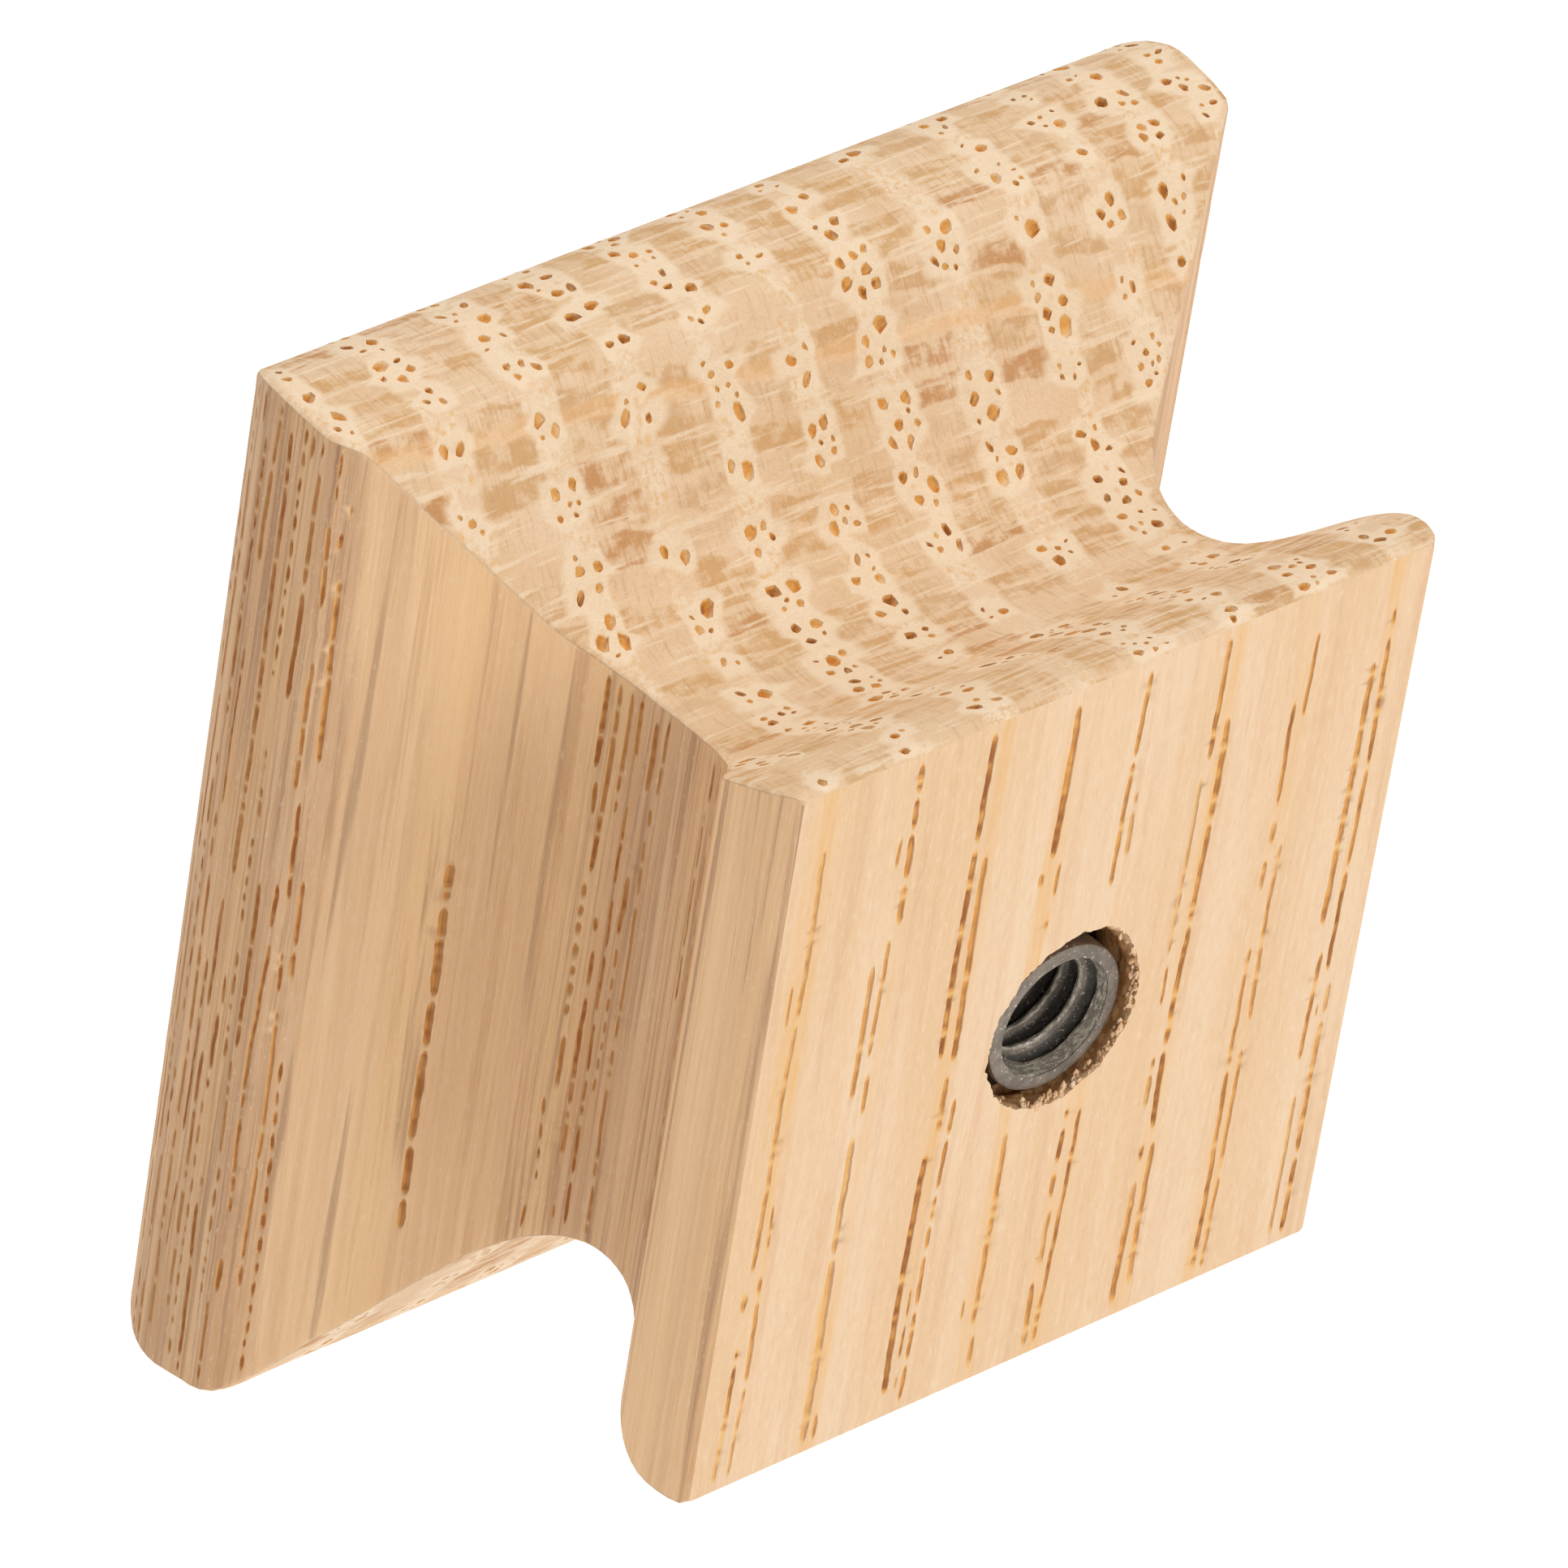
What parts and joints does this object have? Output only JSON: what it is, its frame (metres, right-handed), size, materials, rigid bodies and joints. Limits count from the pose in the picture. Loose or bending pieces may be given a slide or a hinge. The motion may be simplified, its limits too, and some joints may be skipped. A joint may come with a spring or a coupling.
{
  "type": "furniture knob",
  "caption": "Square hardwood knob with coved sides, a larger show face and a smaller back face that holds a threaded steel insert.",
  "frame": {"origin": "centre of the knob's back face, on the axis of the threaded insert", "axes": "+Y out of the back face, towards the drawer front or door that the knob is screwed to; the show face looks along -Y; +Z along the wood's grain"},
  "size_m": [0.0346, 0.0207, 0.035],
  "materials": {
    "oak": "raw, finely sanded",
    "steel": "dull grey-brown, as turned"
  },
  "bodies": {
    "root": {"knob_body": "oak", "threaded_insert": "steel"}
  },
  "joints": []
}
